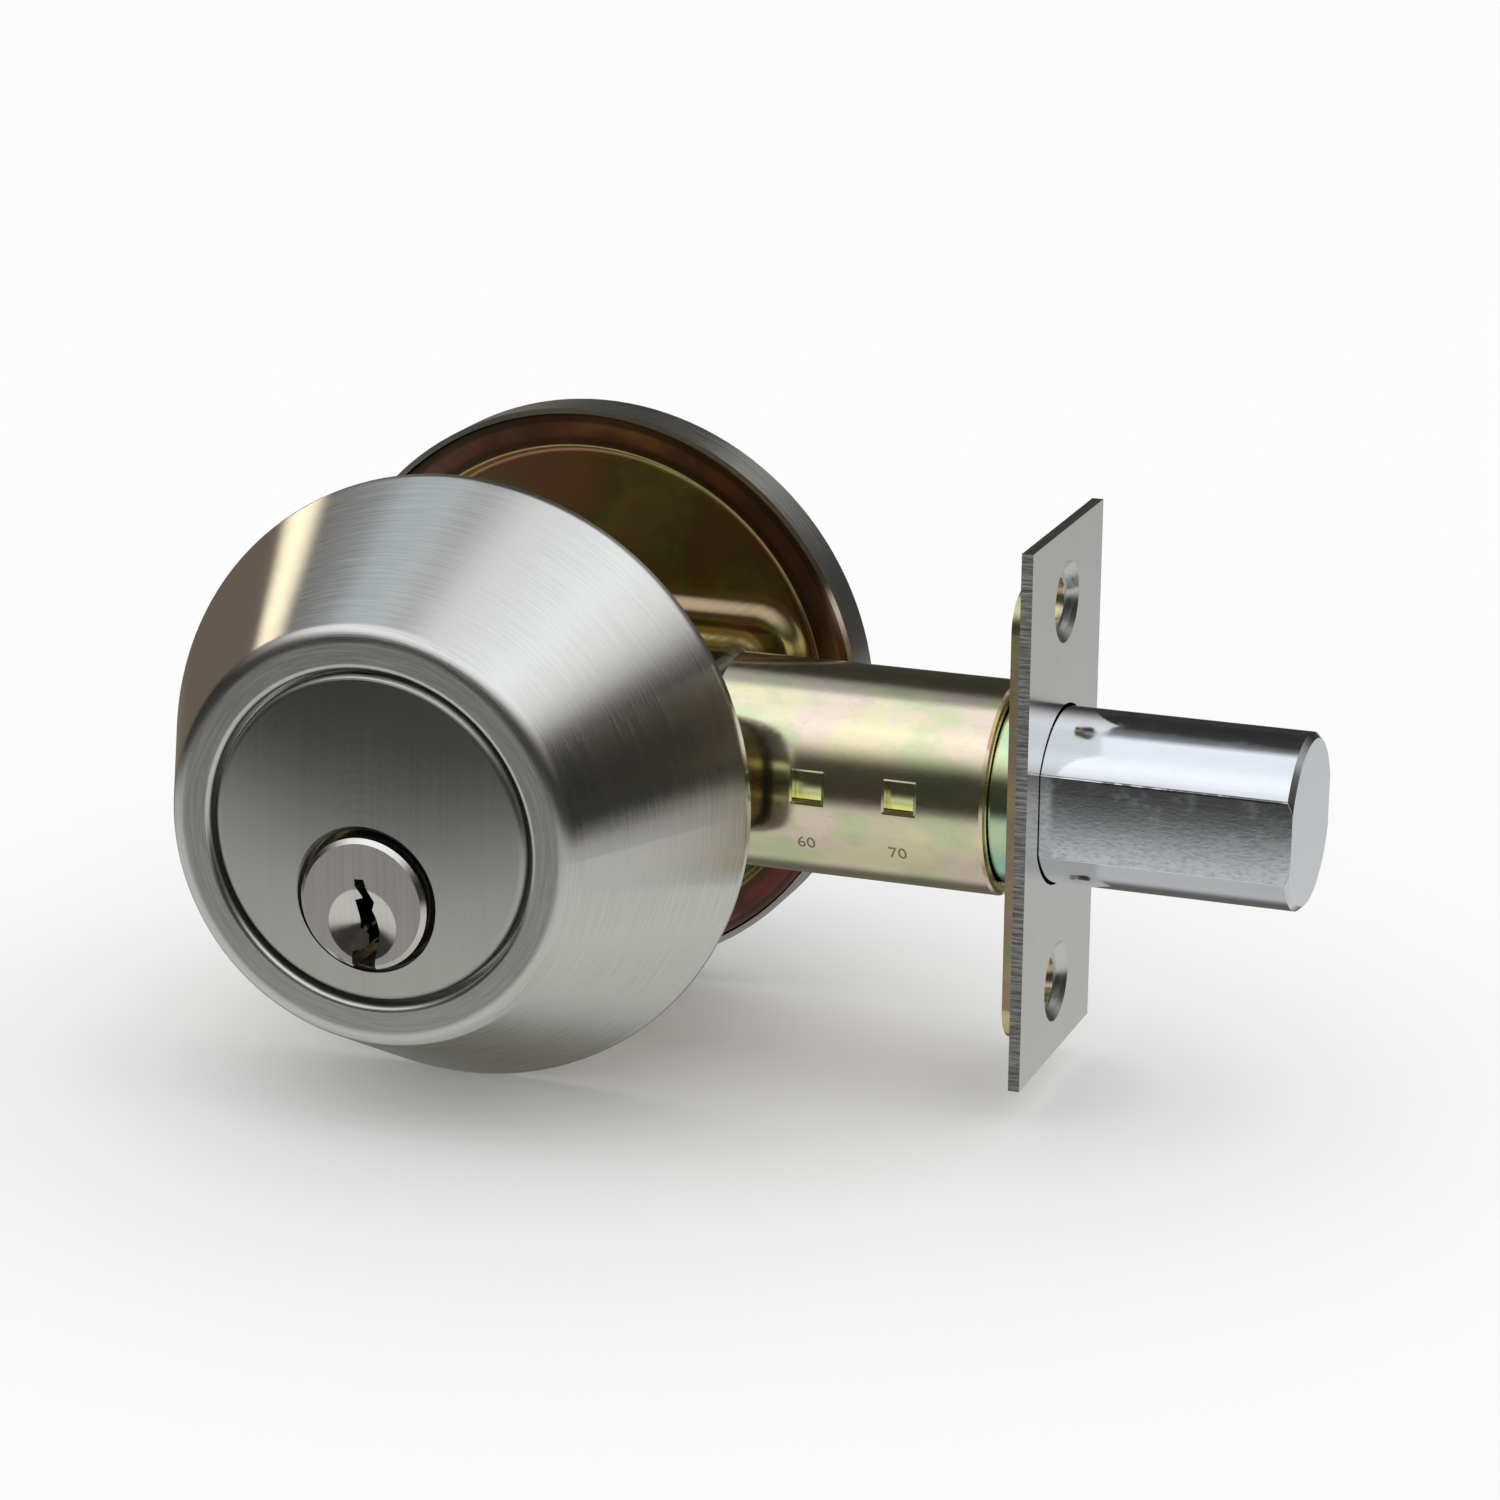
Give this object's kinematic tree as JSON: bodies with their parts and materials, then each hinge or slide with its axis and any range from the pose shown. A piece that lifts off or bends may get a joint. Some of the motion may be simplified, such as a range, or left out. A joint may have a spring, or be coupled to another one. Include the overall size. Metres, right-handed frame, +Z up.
{
  "type": "deadbolt door lock",
  "caption": "Deadbolt door lock with a conical key collar outside, a round rose with a thumb turn inside and a round bolt in a tube with an edge plate.",
  "frame": {"origin": "axis of the cross bore where it meets the bolt's axis, in the middle of the door", "axes": "+X along the bolt towards its tip, +Y through the door from the key side to the thumb turn side, +Z up"},
  "size_m": [0.1192, 0.0835, 0.065],
  "materials": {
    "satin_nickel": "satin nickel plate, fine brushing",
    "cast_zinc": "die-cast zinc, grey",
    "nickel_plug": "bright nickel plate",
    "plain_steel": "plain steel",
    "brass": "machined brass",
    "yellow_zinc": "yellow zinc plate on steel",
    "chromed_bolt": "bright plate, drawn"
  },
  "bodies": {
    "lock": {"face_cap": "satin_nickel", "cylinder_housing": "cast_zinc", "cylinder_shell": "brass", "chamber_cover": "brass", "cylinder_back_plate": "yellow_zinc", "back_plate_screws": "plain_steel", "faceplate": "satin_nickel", "backplate": "yellow_zinc", "bolt_tube": "yellow_zinc", "inner_sleeve": "yellow_zinc", "tube_end": "yellow_zinc", "case_outer": "yellow_zinc", "case_inner": "yellow_zinc", "case_rivets": "plain_steel", "mounting_plate": "yellow_zinc", "inner_rose": "satin_nickel", "turn_bushing": "satin_nickel", "mounting_screws": "nickel_plug", "pin_springs": "plain_steel"},
    "collar": {"outer_collar": "satin_nickel"},
    "plug": {"plug": "nickel_plug", "key_pins": "brass", "plug_cap": "plain_steel"},
    "drivers": {"driver_pins": "plain_steel"},
    "turn": {"hub": "plain_steel", "hub_pin": "plain_steel", "tailpiece": "plain_steel", "thumb_turn": "satin_nickel", "turn_clip": "plain_steel", "turn_washer": "plain_steel"},
    "bolt": {"bolt": "chromed_bolt", "bolt_tail": "yellow_zinc", "tail_rivet": "plain_steel"},
    "roller": {"bolt_roller": "plain_steel"}
  },
  "joints": [
    {"name": "turn", "type": "hinge", "parent": "lock", "child": "turn", "pos_m": [0, 0, -0.00635], "axis": [0, 1, 0], "range_deg": [-90, 0]},
    {"name": "bolt_slide", "type": "slide", "parent": "lock", "child": "bolt", "axis": [1, 0, 0], "range_m": [-0.0254, 0]},
    {"name": "plug_turn", "type": "hinge", "parent": "lock", "child": "plug", "pos_m": [0, 0, -0.00635], "axis": [0, 1, 0], "range_deg": [-90, 0]},
    {"name": "collar_spin", "type": "hinge", "parent": "lock", "child": "collar", "pos_m": [0, 0, 0], "axis": [0, 1, 0], "continuous": true},
    {"name": "driver_lift", "type": "slide", "parent": "lock", "child": "drivers", "axis": [0, 0, 1], "range_m": [0, 0.0015], "stiffness_N_per_m": 60, "deforming": ["pin_springs"]},
    {"name": "roller_spin", "type": "hinge", "parent": "bolt", "child": "roller", "pos_m": [0.061, 0, 0], "axis": [1, 0, 0], "continuous": true}
  ],
  "couplings": [
    {"joint": "turn", "follows": "bolt_slide", "rad_per_m": 61.842}
  ]
}
